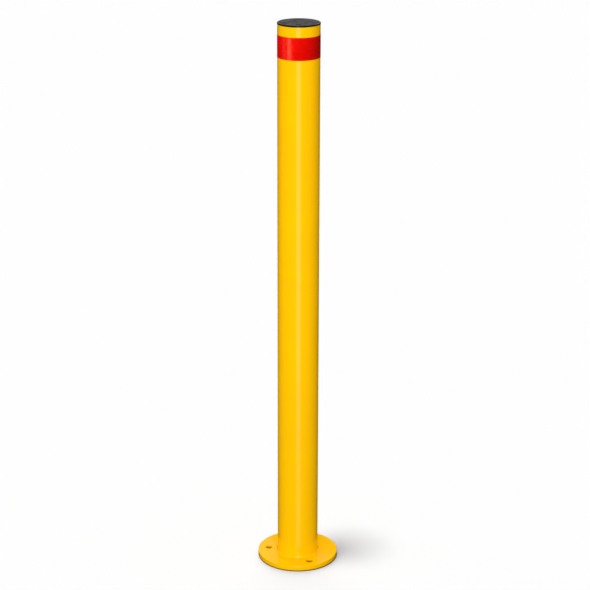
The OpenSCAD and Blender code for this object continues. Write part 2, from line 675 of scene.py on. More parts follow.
@dataclass(frozen=True)
class ReflectiveSheeting:
    """Red retroreflective film with a honeycomb of sealed cells.

    Attributes:
        colour: The colour of a cell.
        seam_colour: The colour of the seams between the cells.
        cell_width: The width of a cell across its flats.
        seam_width: The width of a seam.
        seam_depth: How far a seam lies below the cells.
        seam_blur: How soft a seam's edge is, as a share of half its width.
        cell_contrast: How far the darkest cell goes towards the dark colour.
        dark_share: The brightness of the dark colour, as a share of the cells' own.
        metallic: The share of the light that the backing mirrors in the film's own colour.
        gloss: The strength of the film's clear gloss, where 0.5 is that of bare plastic.
        gloss_tint: The tint that the film gives to what its gloss mirrors.
        roughness: The least and the most roughness.
        tone_range: The sum of the cell's and the patch's tone that gives the least, and that gives the most.
        patch_size: The width of the slow changes in gloss.
    """

    colour: Colour = (0.6, 0.0012, 0.0004, 1.0)
    seam_colour: Colour = (0.53, 0.002, 0.0008, 1.0)
    cell_width: float = 4.2 * MM
    seam_width: float = 0.55 * MM
    seam_depth: float = 0.02 * MM
    seam_blur: float = 0.6
    cell_contrast: float = 0.12
    dark_share: float = 0.3
    metallic: float = 0.1
    gloss: float = 0.12
    gloss_tint: Colour = (1.0, 1.0, 0.5, 1.0)
    roughness: tuple[float, float] = (0.2, 0.34)
    tone_range: tuple[float, float] = (0.3, 1.7)
    patch_size: float = 13 * MM

    def material(self) -> bpy.types.Material:
        """Builds the material.

        Returns:
            The film for the band.
        """
        builder = FinishBuilder(
            "red_reflective_film",
            self.roughness[0],
            IOR=POLYMER_IOR,
            Metallic=self.metallic,
            Specular_IOR_Level=self.gloss,
            Specular_Tint=self.gloss_tint,
        )
        place = builder.object_place()
        flat = builder.combine(builder.attribute(ReflectiveBand.WRAP), builder.split(place)["Z"], 0.0)
        cells = builder.cells(flat, self.cell_width)
        half_seam = self.seam_width / 2 / self.cell_width
        seam_edge = (half_seam * (1 - self.seam_blur), half_seam * (1 + self.seam_blur))
        inside = builder.ramp(cells["Seam distance"], *seam_edge)
        shade = builder.maths("MULTIPLY", cells["Cell tone"], self.cell_contrast)
        dark = (*(channel * self.dark_share for channel in self.colour[:3]), 1.0)
        cell = builder.blend(shade, self.colour, dark)
        builder.feed("Base Color", builder.blend(inside, self.seam_colour, cell))
        tones = builder.maths("ADD", cells["Cell tone"], builder.mottle(place, self.patch_size))
        builder.feed("Roughness", builder.ramp(tones, *self.tone_range, *self.roughness))
        builder.raise_surface(inside, self.seam_depth)
        return builder.material


@dataclass(frozen=True)
class FloorPlate:
    """Round plate with rounded rims and anchor holes whose lips are broken.

    Attributes:
        radius: The plate's radius.
        thickness: Its thickness.
        hole_radius: The radius of an anchor hole.
        hole_circle_radius: The radius of the circle that the holes lie on.
        hole_count: The number of holes.
        first_hole: The direction of the first hole.
        rim_radius: The rounding of the plate's rim.
        lip_radius: The rounding of each hole's lip.
        support: The width of the flat ring that ends each rounding.
        rim_segments: The steps round the plate.
        hole_segments: The steps round a hole.
        rounding_steps: The steps in each rounding.
        coat_reach: The depths in a hole over which the painted shade goes from none to full.
    """

    NODE = "base_plate"
    # The attribute that holds each bore's depth share, which the coat paints as shade.
    BORE_SHADE = "bore_depth"

    radius: float
    thickness: float
    hole_radius: float
    hole_circle_radius: float
    hole_count: int
    first_hole: float
    rim_radius: float = 1.0 * MM
    lip_radius: float = 0.8 * MM
    support: float = 0.3 * MM
    rim_segments: int = 288
    hole_segments: int = 72
    rounding_steps: int = 8
    coat_reach: tuple[float, float] = (0.6 * MM, 4.0 * MM)

    @classmethod
    def from_frame(cls) -> "FloorPlate":
        """Takes the plate's sizes from the frame.

        Returns:
            The plate, its first hole turned to the first of the record's openings.
        """
        record = frame["record"]
        bolts = next(mount for mount in record["mounts"] if mount["name"] == "floor_bolts")["dims"]
        low, high = record["physics"]["openings"][0]["box_m"]
        first_hole = math.atan2(low[1] + high[1], low[0] + high[0])
        return cls(
            radius=node_radius(cls.NODE),
            thickness=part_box(cls.NODE)[1].z,
            hole_radius=bolts["hole_r_mm"] * MM,
            hole_circle_radius=bolts["pcd_mm"] / 2 * MM,
            hole_count=bolts["count"],
            first_hole=first_hole,
        )

    def build(self, material: bpy.types.Material) -> bpy.types.Object:
        """Builds the plate.

        Args:
            material: Its finish.

        Returns:
            The plate, in the place of its node.
        """
        tree = GeometryTree("floor_plate_tree")
        radius = tree.size("Plate radius", self.radius)
        thickness = tree.size("Thickness", self.thickness)
        rim = tree.size("Rim rounding", self.rim_radius)
        hole_radius = tree.size("Hole radius", self.hole_radius)
        lip = tree.size("Lip rounding", self.lip_radius)
        support = tree.size("Support", self.support)
        circle_radius = tree.size("Hole circle radius", self.hole_circle_radius)
        first = tree.size("First hole", self.first_hole)
        count = tree.count("Hole count", self.hole_count)
        rim_segments = tree.count("Rim segments", self.rim_segments)
        hole_segments = tree.count("Hole segments", self.hole_segments)
        steps = tree.count("Rounding steps", self.rounding_steps)

        inset = tree.maths("ADD", rim, support)
        outset = tree.maths("ADD", lip, support)
        inward = tree.maths("MULTIPLY", inset, -1.0)
        wall = tree.turned(self.edge_profile(tree, inward, thickness, rim, steps), radius, rim_segments)
        painted_shade_area = tree.turned(self.edge_profile(tree, outset, thickness, lip, steps), hole_radius, hole_segments)
        # Each bore wall keeps its depth share, which the coat turns into painted shade down the hole.
        height = tree.split(tree.result("GeometryNodeInputPosition"))["Z"]
        depth = tree.ramp(tree.maths("SUBTRACT", thickness, height), *self.coat_reach)

        centre = tree.round_place(tree.even_turn(count, first), circle_radius, 0.0)
        centres = tree.placed(tree.line(count), centre)
        bores = tree.repeated(tree.marked(painted_shade_area, self.BORE_SHADE, depth), centres)
        rings = tree.repeated(tree.circle(tree.maths("ADD", hole_radius, outset), hole_segments), centres)
        outline = tree.circle(tree.maths("SUBTRACT", radius, inset), rim_segments)
        outlines = tree.result("GeometryNodeRealizeInstances", {"Geometry": tree.joined(outline, rings)})
        face = tree.result("GeometryNodeFillCurve", {"Curve": outlines}, mode="TRIANGLES")
        top = tree.moved(face, tree.combine(0.0, 0.0, thickness))
        whole = tree.joined(face, top, wall, bores)
        piece = tree.grow("floor_plate", whole, material, bpy.data.meshes.new("empty"))
        return dress(piece, self.NODE)

    @staticmethod
    def edge_profile(
        tree: GeometryTree, reach: Socket, height: Socket, rounding: Socket, steps: Socket
    ) -> Socket:
        """Draws an upright edge that rounds over into both faces.

        Args:
            tree: The tree that gets the nodes.
            reach: How far the profile runs into the faces, negative towards the axis.
            height: The edge's height.
            rounding: The radius of both roundings.
            steps: The steps in each rounding.

        Returns:
            The socket with the open curve.
        """
        corners = {
            "Point 1": tree.combine(reach, height, 0.0),
            "Point 2": tree.combine(0.0, height, 0.0),
            "Point 3": ORIGIN,
            "Point 4": tree.combine(reach, 0.0, 0.0),
        }
        loop = tree.result("GeometryNodeCurvePrimitiveQuadrilateral", corners, mode="POINTS")
        opened = tree.result("GeometryNodeSetSplineCyclic", {"Geometry": loop, "Cyclic": False})
        return tree.rounded(opened, rounding, steps)


@dataclass(frozen=True)
class PostTube:
    """Steel tube, open at both ends.

    Attributes:
        radius: The outer radius.
        foot: The height of the lower end.
        top: The height of the upper end.
        wall: The wall's thickness.
        ring_spacing: The distance between two rings of points.
        segments: The steps round the tube.
    """

    NODE = "post_tube"

    radius: float
    foot: float
    top: float
    wall: float = 4.0 * MM
    ring_spacing: float = 40 * MM
    segments: int = 256

    @classmethod
    def from_frame(cls) -> "PostTube":
        """Takes the tube's sizes from the frame and returns the tube."""
        low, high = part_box(cls.NODE)
        return cls(radius=node_radius(cls.NODE), foot=low.z, top=high.z)

    def section(self) -> Section:
        """Draws the wall's section.

        Returns:
            The closed section, with points all along both sides.
        """
        rings = round((self.top - self.foot) / self.ring_spacing)
        heights = [self.foot + (self.top - self.foot) * i / rings for i in range(rings + 1)]
        outer = [(self.radius, height) for height in heights]
        inner = [(self.radius - self.wall, height) for height in reversed(heights)]
        return Section(outer + inner, closed=True)

    def build(self, material: bpy.types.Material) -> bpy.types.Object:
        """Builds the tube.

        Args:
            material: Its finish.

        Returns:
            The tube, in the place of its node.
        """
        tree = GeometryTree("post_tube_tree")
        radius = tree.size("Tube radius", self.radius)
        turned = tree.turned(tree.profile(), radius, tree.count("Segments", self.segments))
        piece = tree.grow("post_tube_coated", turned, material, self.section().seed(self.radius))
        return dress(piece, self.NODE)


@dataclass(frozen=True)
class WeldBead:
    """Fillet weld round the tube's foot, with the soft ripples of its passes.

    Attributes:
        tube_radius: The tube's outer radius.
        foot: The height of the plate's upper face.
        leg: The weld's leg, up the tube and out over the plate.
        face_centre: The centre of the hollow face, in legs out from the corner.
        ripple_pitch: The distance between two ripples.
        ripple_height: The height of a ripple.
        chevron: How far a ripple's middle lags behind its ends, in ripples.
        wander: How far the face wanders slowly in and out.
        wander_scale: The number of slow changes over a length of one tube radius.
        wander_detail: How fine the detail on each slow change is.
        face_steps: The steps across the face.
        ripple_steps: The steps along one ripple.
        seed: The seed of the wander.
    """

    NODE = "weld_bead"

    tube_radius: float
    foot: float
    leg: float
    face_centre: float = 1.25
    ripple_pitch: float = 3.2 * MM
    ripple_height: float = 0.025 * MM
    chevron: float = 0.6
    wander: float = 0.08 * MM
    wander_scale: float = 4.0
    wander_detail: float = 1.0
    face_steps: int = 12
    ripple_steps: int = 8
    seed: float = 4.0

    @classmethod
    def from_frame(cls) -> "WeldBead":
        """Takes the weld's sizes from the frame and returns the weld."""
        low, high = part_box(cls.NODE)
        return cls(tube_radius=node_radius(PostTube.NODE), foot=low.z, leg=high.z - low.z)

    def section(self) -> Section:
        """Draws the weld's section.

        Returns:
            The closed section: the root, the lower toe, the hollow face and the upper toe.
        """
        full_turn = 360
        offset = self.face_centre * self.leg
        centre = (self.tube_radius + offset, self.foot + offset)
        radius = math.hypot(offset, offset - self.leg)
        lower_toe = math.degrees(math.atan2(-offset, self.leg - offset)) % full_turn
        upper_toe = math.degrees(math.atan2(self.leg - offset, -offset)) % full_turn
        face = arc(centre, radius, lower_toe, upper_toe, self.face_steps)
        return Section([(self.tube_radius, self.foot), *face], closed=True)

    def build(self, material: bpy.types.Material) -> bpy.types.Object:
        """Builds the weld.

        Args:
            material: Its finish.

        Returns:
            The weld, in the place of its node.
        """
        tree = GeometryTree("weld_bead_tree")
        tube_radius = tree.size("Tube radius", self.tube_radius)
        foot = tree.size("Foot", self.foot)
        leg = tree.size("Leg", self.leg)
        height = tree.size("Ripple height", self.ripple_height)
        chevron = tree.size("Chevron", self.chevron)
        wander = tree.size("Wander", self.wander)
        scale = tree.size("Wander scale", self.wander_scale)
        detail = tree.size("Wander detail", self.wander_detail)
        seed = tree.size("Seed", self.seed)
        ripple_count = round(math.tau * self.tube_radius / self.ripple_pitch)
        ripples = tree.count("Ripples", ripple_count)
        segments = tree.count("Segments", ripple_count * self.ripple_steps)

        # The lift is full in the middle of the face and falls to nothing at both toes and at the root.
        plain = tree.turned(tree.profile(), tube_radius, segments)
        position = tree.result("GeometryNodeInputPosition")
        parts = tree.split(position)
        radial = tree.flattened(position)
        out = tree.maths("SUBTRACT", tree.vector_maths("LENGTH", radial), tube_radius)
        up = tree.maths("SUBTRACT", parts["Z"], foot)
        lean = tree.maths("DIVIDE", tree.maths("SUBTRACT", out, up), leg)
        middle = tree.maths("SUBTRACT", 1.0, tree.maths("MULTIPLY", lean, lean), clamp=True)
        off_root = tree.maths("GREATER_THAN", tree.maths("MINIMUM", out, up), MERGE_DISTANCE)
        share = tree.maths("MULTIPLY", middle, off_root)

        turn = tree.maths("DIVIDE", tree.maths("ARCTAN2", parts["Y"], parts["X"]), math.tau)
        phase = tree.maths("MULTIPLY_ADD", turn, ripples, tree.maths("MULTIPLY", chevron, middle))
        wave = tree.maths("SINE", tree.maths("MULTIPLY", phase, math.tau))
        place = tree.vector_maths("NORMALIZE", radial)
        noise = {"Vector": place, "W": seed, "Scale": scale, "Detail": detail}
        slow = tree.add("ShaderNodeTexNoise", noise, noise_dimensions="4D").outputs["Fac"]
        drift = tree.maths("MULTIPLY", tree.maths("SUBTRACT", slow, 0.5), wander)
        lift = tree.maths("MULTIPLY", tree.maths("MULTIPLY_ADD", wave, height, drift), share)
        off_corner = tree.vector_maths("NORMALIZE", tree.vector_maths("ADD", place, (0.0, 0.0, 1.0)))
        offset = tree.result("ShaderNodeVectorMath", {0: off_corner, "Scale": lift}, operation="SCALE")
        rippled = tree.result("GeometryNodeSetPosition", {"Geometry": plain, "Offset": offset})
        piece = tree.grow("weld_bead_coated", rippled, material, self.section().seed(self.tube_radius))
        return dress(piece, self.NODE)


@dataclass(frozen=True)
class ReflectiveBand:
    """Reflective tape wound once round the post, its end lapped over its start.

    Attributes:
        tube_radius: The tube's outer radius.
        foot: The height of the band's lower edge.
        width: The band's width.
        thickness: The tape's thickness.
        lap: The angle over which the end covers the start.
        lap_at: The direction of the middle of the lap.
        lift: The angle over which the tape climbs onto its own start.
        edge_radius: The rounding of the tape's edges.
        edge_steps: The steps in each rounding.
        steps: The steps along the tape.
    """

    NODE = "reflective_tape"
    WRAP = "wrap_length"

    tube_radius: float
    foot: float
    width: float
    thickness: float = 0.3 * MM
    lap: float = math.radians(16)
    lap_at: float = math.radians(90)
    lift: float = math.radians(1.6)
    edge_radius: float = 0.1 * MM
    edge_steps: int = 3
    steps: int = 640

    @classmethod
    def from_frame(cls) -> "ReflectiveBand":
        """Takes the band's sizes from the frame and returns the band."""
        low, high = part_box(cls.NODE)
        return cls(tube_radius=node_radius(PostTube.NODE), foot=low.z, width=high.z - low.z)

    def build(self, material: bpy.types.Material) -> bpy.types.Object:
        """Builds the band.

        Args:
            material: Its finish.

        Returns:
            The band, in the place of its node.
        """
        tree = GeometryTree("reflective_band_tree")
        tube_radius = tree.size("Tube radius", self.tube_radius)
        middle = tree.size("Middle height", self.foot + self.width / 2)
        width = tree.size("Width", self.width)
        thickness = tree.size("Thickness", self.thickness)
        start = tree.size("Start", self.lap_at - self.lap / 2)
        whole = tree.size("Whole turn", math.tau + self.lap)
        lift = tree.size("Lift", self.lift)
        rounding = tree.size("Edge rounding", self.edge_radius)
        edge_steps = tree.count("Edge steps", self.edge_steps)
        steps = tree.count("Steps", self.steps)

        # The path is the middle of the tape's thickness: a round turn that climbs one layer at its end.
        along = tree.maths("DIVIDE", tree.result("GeometryNodeInputIndex"), steps)
        wound = tree.maths("MULTIPLY", along, whole)
        past_start = tree.maths("SUBTRACT", wound, tree.maths("SUBTRACT", math.tau, lift))
        climb = tree.maths("DIVIDE", past_start, lift, clamp=True)
        layer = tree.maths("MULTIPLY_ADD", thickness, tree.maths("ADD", climb, 0.5), tube_radius)
        place = tree.round_place(tree.maths("ADD", start, wound), layer, middle)
        winding = tree.placed(tree.line(tree.maths("ADD", steps, 1.0)), place)
        marked = tree.marked(winding, self.WRAP, tree.maths("MULTIPLY", wound, tube_radius))
        path = tree.result("GeometryNodeMeshToCurve", {"Mesh": marked})
        sizes = {"Width": thickness, "Height": width}
        strip = tree.result("GeometryNodeCurvePrimitiveQuadrilateral", sizes, mode="RECTANGLE")
        wound_strip = tree.swept(tree.rounded(strip, rounding, edge_steps), path, True)
        piece = tree.grow("reflective_band", wound_strip, material, bpy.data.meshes.new("empty"))
        return dress(piece, self.NODE)


@dataclass(frozen=True)
class EndCap:
    """Moulded cap: a flat head with a rounded rim over a finned and ribbed plug.

    Attributes:
        seat: The height of the tube's end, where the head sits.
        head_radius: The head's radius.
        head_height: The head's thickness.
        bore_radius: The radius of the tube's bore.
        rim_radius: The rounding of the head's upper rim.
        low_rim_radius: The rounding of its lower rim.
        border_width: The width of the border over which the head's face falls off.
        border_fall: How far the face would fall if it reached the head's side.
        border_steps: The steps across the border.
        plug_radius: The outer radius of the plug.
        plug_wall: The plug's wall thickness.
        plug_depth: The plug's depth below the seat.
        lead_in: The chamfer on the plug's lower edge.
        fin_count: The number of flexible fins.
        fins_start: The depth at which the fins start.
        fins_end: The depth at which they end.
        fin_sweep: How far a fin rises from root to tip.
        fin_root: A fin's thickness at its root.
        fin_tip: A fin's thickness at its tip.
        rib_count: The number of ribs inside the plug.
        rib_thickness: A rib's thickness.
        rib_depth: A rib's depth below the head.
        hub_radius: The radius of the hub that the ribs meet.
        hub_segments: The steps round the hub.
        support: The width of the flat ring next to the border and next to the lower rounding.
        segments: The steps round the cap.
        rounding_steps: The steps in each rounding.
    """

    NODE = "end_cap"

    seat: float
    head_radius: float
    head_height: float
    bore_radius: float
    rim_radius: float = 1.4 * MM
    low_rim_radius: float = 0.4 * MM
    border_width: float = 4.5 * MM
    border_fall: float = 0.45 * MM
    border_steps: int = 14
    plug_radius: float = 35.95 * MM
    plug_wall: float = 2.5 * MM
    plug_depth: float = 26 * MM
    lead_in: float = 0.85 * MM
    fin_count: int = 4
    fins_start: float = 4.5 * MM
    fins_end: float = 24.5 * MM
    fin_sweep: float = 1.6 * MM
    fin_root: float = 1.2 * MM
    fin_tip: float = 0.8 * MM
    rib_count: int = 6
    rib_thickness: float = 1.8 * MM
    rib_depth: float = 14 * MM
    hub_radius: float = 5 * MM
    hub_segments: int = 64
    support: float = 0.25 * MM
    segments: int = 240
    rounding_steps: int = 8

    @classmethod
    def from_frame(cls) -> "EndCap":
        """Takes the cap's sizes from the frame.

        Returns:
            The cap, seated on the tube's end.
        """
        tube_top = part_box(PostTube.NODE)[1].z
        cap_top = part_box(cls.NODE)[1].z
        bore = node_radius(PostTube.NODE) - PostTube.wall
        return cls(
            seat=tube_top, head_radius=node_radius(cls.NODE), head_height=cap_top - tube_top, bore_radius=bore
        )

    def face_height(self, reach: float) -> float:
        """Returns the face's height at a distance from the axis, which falls ever faster at the border."""
        share = max(0.0, 1 - (self.head_radius - reach) / self.border_width)
        return self.seat + self.head_height - self.border_fall * share**2

    def head_points(self) -> list[Point]:
        """Draws the head's outline.

        Returns:
            The points, from the axis over the rim to the seat.
        """
        border_x = self.head_radius - self.border_width
        rim_x = self.head_radius - self.rim_radius
        low_x = self.head_radius - self.low_rim_radius
        lean = math.atan(2 * self.border_fall * (rim_x - border_x) / self.border_width**2)
        rim_start = rim_x + self.rim_radius * math.sin(lean)
        rim_height = self.face_height(rim_start) - self.rim_radius * math.cos(lean)
        step = (rim_start - border_x) / self.border_steps
        reaches = [0.0, border_x - self.support, *(border_x + step * i for i in range(self.border_steps))]
        return [
            *((reach, self.face_height(reach)) for reach in reaches),
            *arc((rim_x, rim_height), self.rim_radius, 90 - math.degrees(lean), 0, self.rounding_steps),
            *arc((low_x, self.seat + self.low_rim_radius), self.low_rim_radius, 0, -90, self.rounding_steps),
            (low_x - self.support, self.seat),
        ]

    def fin_points(self, root_height: float) -> list[Point]:
        """Draws one fin from its upper root round its tip.

        Args:
            root_height: The height of the fin's underside, at the middle of the plug's wall.

        Returns:
            The four points, the roots on the plug's outer face.
        """
        root_x = self.plug_radius - self.plug_wall / 2
        share = (self.plug_radius - root_x) / (self.bore_radius - root_x)
        upper_rise = self.fin_sweep + self.fin_tip - self.fin_root
        return [
            (self.plug_radius, root_height + self.fin_root + upper_rise * share),
            (self.bore_radius, root_height + self.fin_sweep + self.fin_tip),
            (self.bore_radius, root_height + self.fin_sweep),
            (self.plug_radius, root_height + self.fin_sweep * share),
        ]

    def plug_points(self) -> list[Point]:
        """Draws the plug's outline.

        Returns:
            The points, from the seat down over the fins and up the inner face to the axis.
        """
        pitch = (self.fins_end - self.fins_start) / self.fin_count
        depths = [self.fins_start + (i + 0.5) * pitch for i in range(self.fin_count)]
        fins = [point for depth in depths for point in self.fin_points(self.seat - depth)]
        foot = self.seat - self.plug_depth
        inner = self.plug_radius - self.plug_wall
        return [
            (self.plug_radius, self.seat),
            *fins,
            (self.plug_radius, foot + self.lead_in),
            (self.plug_radius - self.lead_in, foot),
            (inner, foot),
            (inner, self.seat),
            (0.0, self.seat),
        ]

    def build(self, material: bpy.types.Material) -> bpy.types.Object:
        """Builds the cap.

        Args:
            material: Its finish.

        Returns:
            The cap, in the place of its node.
        """
        path_radius = self.head_radius / 2
        section = Section(self.head_points() + self.plug_points(), closed=False)
        tree = GeometryTree("end_cap_tree")
        path = tree.size("Path radius", path_radius)
        seat = tree.size("Seat", self.seat)
        hub_radius = tree.size("Hub radius", self.hub_radius)
        reach = tree.size("Rib reach", self.plug_radius - self.plug_wall / 2)
        thickness = tree.size("Rib thickness", self.rib_thickness)
        depth = tree.size("Rib depth", self.rib_depth)
        root = tree.size("Root", self.head_height / 2)
        count = tree.count("Rib count", self.rib_count)
        segments = tree.count("Segments", self.segments)
        hub_segments = tree.count("Hub segments", self.hub_segments)

        shell = tree.merged(tree.turned(tree.profile(), path, segments))
        height = tree.maths("ADD", depth, root)
        level = tree.maths("SUBTRACT", tree.maths("MULTIPLY_ADD", height, 0.5, seat), depth)
        bar = tree.result("GeometryNodeMeshCube", {"Size": tree.combine(reach, thickness, height)})
        rib = tree.moved(bar, tree.combine(tree.maths("MULTIPLY", reach, 0.5), 0.0, level))
        upright_turn = tree.combine(0.0, 0.0, tree.even_turn(count))
        turn = tree.result("FunctionNodeEulerToRotation", {"Euler": upright_turn})
        ribs = tree.repeated(rib, tree.line(count), Rotation=turn)
        sizes = {"Vertices": hub_segments, "Radius": hub_radius, "Depth": height}
        hub = tree.moved(tree.result("GeometryNodeMeshCylinder", sizes), tree.combine(0.0, 0.0, level))
        union = tree.add("GeometryNodeMeshBoolean", operation="UNION", solver="EXACT")
        for part in (shell, ribs, hub):
            tree.tree.links.new(part, union.inputs["Mesh 2"])
        whole = union.outputs["Mesh"]
        piece = tree.grow("moulded_end_cap", whole, material, section.seed(path_radius))
        return dress(piece, self.NODE)


class Lit(Enum):
    """Groups of objects that a light of the studio may reach."""

    PLATE = "plate"
    POST = "post"
    CAP = "cap"
    BAND = "band"
    FLOOR = "floor"


COATED_AND_BAND = (Lit.PLATE, Lit.POST, Lit.BAND)
GLOSSY_PARTS = (Lit.PLATE, Lit.POST, Lit.CAP)


class Reach:
    """Light groups: the objects that each light may reach or be blocked by."""

    def __init__(self, members: Mapping[Lit, Sequence[bpy.types.Object]]) -> None:
        """Remembers the objects of each group."""
        self.members = members

    def gather(self, name: str, groups: Sequence[Lit]) -> bpy.types.Collection:
        """Puts the members of some groups into a collection.

        Args:
            name: The collection's name.
            groups: The groups.

        Returns:
            The new collection, which isn't part of the scene.
        """
        collection = bpy.data.collections.new(name)
        for group in groups:
            for member in self.members[group]:
                collection.objects.link(member)
        return collection

    def limit(self, light: bpy.types.Object, lit: Sequence[Lit], blocking: Sequence[Lit] = ()) -> None:
        """Lets a light reach some groups only, and be blocked by some groups only.

        Args:
            light: The lamp or card.
            lit: The groups that it reaches.
            blocking: The groups that cast its shadow, or nothing where all do.
        """
        light.light_linking.receiver_collection = self.gather(f"{light.name}_reach", lit)
        if blocking:
            light.light_linking.blocker_collection = self.gather(f"{light.name}_blockers", blocking)


def outward(azimuth: float, elevation: float = 0.0) -> Vector:
    """Works out a direction from the post to the studio.

    Args:
        azimuth: The azimuth in the part's frame, in degrees.
        elevation: The height above the horizon, in degrees.

    Returns:
        The direction, of length one.
    """
    turn = math.radians(azimuth)
    rise = math.radians(elevation)
    return Vector((math.sin(turn) * math.cos(rise), -math.cos(turn) * math.cos(rise), math.sin(rise)))


def hang_lamp(data: bpy.types.Light, place: Vector, towards: Vector) -> bpy.types.Object:
    """Puts a lamp into the scene, out of sight of gloss.

    Args:
        data: The lamp.
        place: Where it hangs.
        towards: The direction from the post to the lamp.

    Returns:
        The lamp's object.
    """
    lamp = add_object(data.name, data)
    lamp.location = place
    lamp.rotation_mode = "QUATERNION"
    lamp.rotation_quaternion = towards.to_track_quat("Z", "Y")
    lamp.visible_glossy = False
    return lamp


@dataclass(frozen=True)
class DistantLamp:
    """A distant soft lamp.

    Attributes:
        name: The lamp's name.
        level: The brightness that it gives a white surface that faces it.
        azimuth: Its direction, in degrees to the right of the camera.
        elevation: Its height above the horizon, in degrees.
        softness: The angle that the lamp fills, in degrees.
        reaches: The groups that it lights.
        blocking: The groups that cast its shadow, or nothing where all do.
    """

    name: str
    level: float
    azimuth: float
    elevation: float
    softness: float
    reaches: Sequence[Lit] = COATED_AND_BAND
    blocking: Sequence[Lit] = ()

    def build(self, camera_azimuth: float, reach: Reach) -> None:
        """Builds the lamp.

        Args:
            camera_azimuth: The camera's azimuth in the part's frame, in degrees.
            reach: The light groups.
        """
        data = bpy.data.lights.new(self.name, "SUN")
        data.energy = self.level * math.pi
        data.angle = math.radians(self.softness)
        towards = outward(camera_azimuth + self.azimuth, self.elevation)
        reach.limit(hang_lamp(data, Vector(), towards), self.reaches, self.blocking)


@dataclass(frozen=True)
class Softbox:
    """A near softbox that faces the post's axis.

    Attributes:
        name: The softbox's name.
        brightness: The brightness of its face.
        azimuth: Its direction, in degrees to the right of the camera.
        distance: Its distance from the post's axis.
        height: The height of its middle.
        size: Its width and height.
        reaches: The groups that it lights.
        glossy: Whether gloss sees it, and nothing else does.
    """

    name: str
    brightness: float
    azimuth: float
    distance: float
    height: float
    size: tuple[float, float]
    reaches: Sequence[Lit] = COATED_AND_BAND
    glossy: bool = False

    def build(self, camera_azimuth: float, reach: Reach) -> None:
        """Builds the softbox.

        Args:
            camera_azimuth: The camera's azimuth in the part's frame, in degrees.
            reach: The light groups.
        """
        data = bpy.data.lights.new(self.name, "AREA")
        data.shape = "RECTANGLE"
        data.size, data.size_y = self.size
        data.energy = self.brightness * math.pi * self.size[0] * self.size[1]
        towards = outward(camera_azimuth + self.azimuth)
        lamp = hang_lamp(data, towards * self.distance + Vector((0.0, 0.0, self.height)), towards)
        lamp.visible_glossy = self.glossy
        lamp.visible_diffuse = not self.glossy
        reach.limit(lamp, self.reaches)


@dataclass(frozen=True)
class ReflectionCard:
    """An upright bright card that only gloss sees, together with what is behind it.

    Attributes:
        name: The card's name.
        corners: Its corners as points of width and height, from the lower left as the camera sees it.
        distance: How far it stands behind the post, negative in front of it.
        levels: Its brightness at its foot and at its top.
        fade: The shares of its height between which the brightness changes.
        soft_sides: Whether it fades out over the part of its half width that SIDE_FADE gives.
        reaches: The groups whose gloss sees it.
    """

    SIDE_FADE = (0.15, 1.0)

    name: str
    corners: Sequence[Point]
    distance: float
    levels: tuple[float, float]
    fade: tuple[float, float] = (0.0, 1.0)
    soft_sides: bool = False
    reaches: Sequence[Lit] = GLOSSY_PARTS

    def build(self, camera_azimuth: float, reach: Reach) -> None:
        """Builds the card.

        Args:
            camera_azimuth: The camera's azimuth in the part's frame, in degrees.
            reach: The light groups.
        """
        turn = Matrix.Rotation(math.radians(camera_azimuth), 4, "Z")
        places = [turn @ Vector((x, self.distance, z)) for x, z in self.corners]
        mesh = bpy.data.meshes.new(self.name)
        mesh.from_pydata(places, [], [range(len(places))])
        layer = mesh.uv_layers.new(name="card")
        for loop, corner in zip(layer.data, ((0, 0), (1, 0), (1, 1), (0, 1))):
            loop.uv = corner
        mesh.materials.append(self.glow())
        card = add_object(self.name, mesh)
        card.visible_camera = False
        card.visible_diffuse = False
        card.visible_shadow = False
        card.visible_transmission = False
        reach.limit(card, self.reaches)

    def glow(self) -> bpy.types.Material:
        """Builds the card's glowing, see-through material.

        Returns:
            The material, its brightness set by the card's own width and height.
        """
        material = bpy.data.materials.new(f"{self.name}_glow")
        material.use_nodes = True
        material.node_tree.nodes.clear()
        material.cycles.emission_sampling = "NONE"
        builder = NodeBuilder(material.node_tree)
        parts = builder.split(builder.result("ShaderNodeUVMap"))
        level = builder.ramp(parts["Y"], *self.fade, *self.levels)
        if self.soft_sides:
            side = builder.maths("ABSOLUTE", builder.maths("MULTIPLY_ADD", parts["X"], 2.0, -1.0))
            level = builder.maths("MULTIPLY", level, builder.ramp(side, *self.SIDE_FADE, 1.0, 0.0))
        glow = builder.result("ShaderNodeEmission", {"Strength": level})
        clear = builder.result("ShaderNodeBsdfTransparent")
        both = builder.result("ShaderNodeAddShader", {0: glow, 1: clear})
        builder.add("ShaderNodeOutputMaterial", {"Surface": both})
        return material


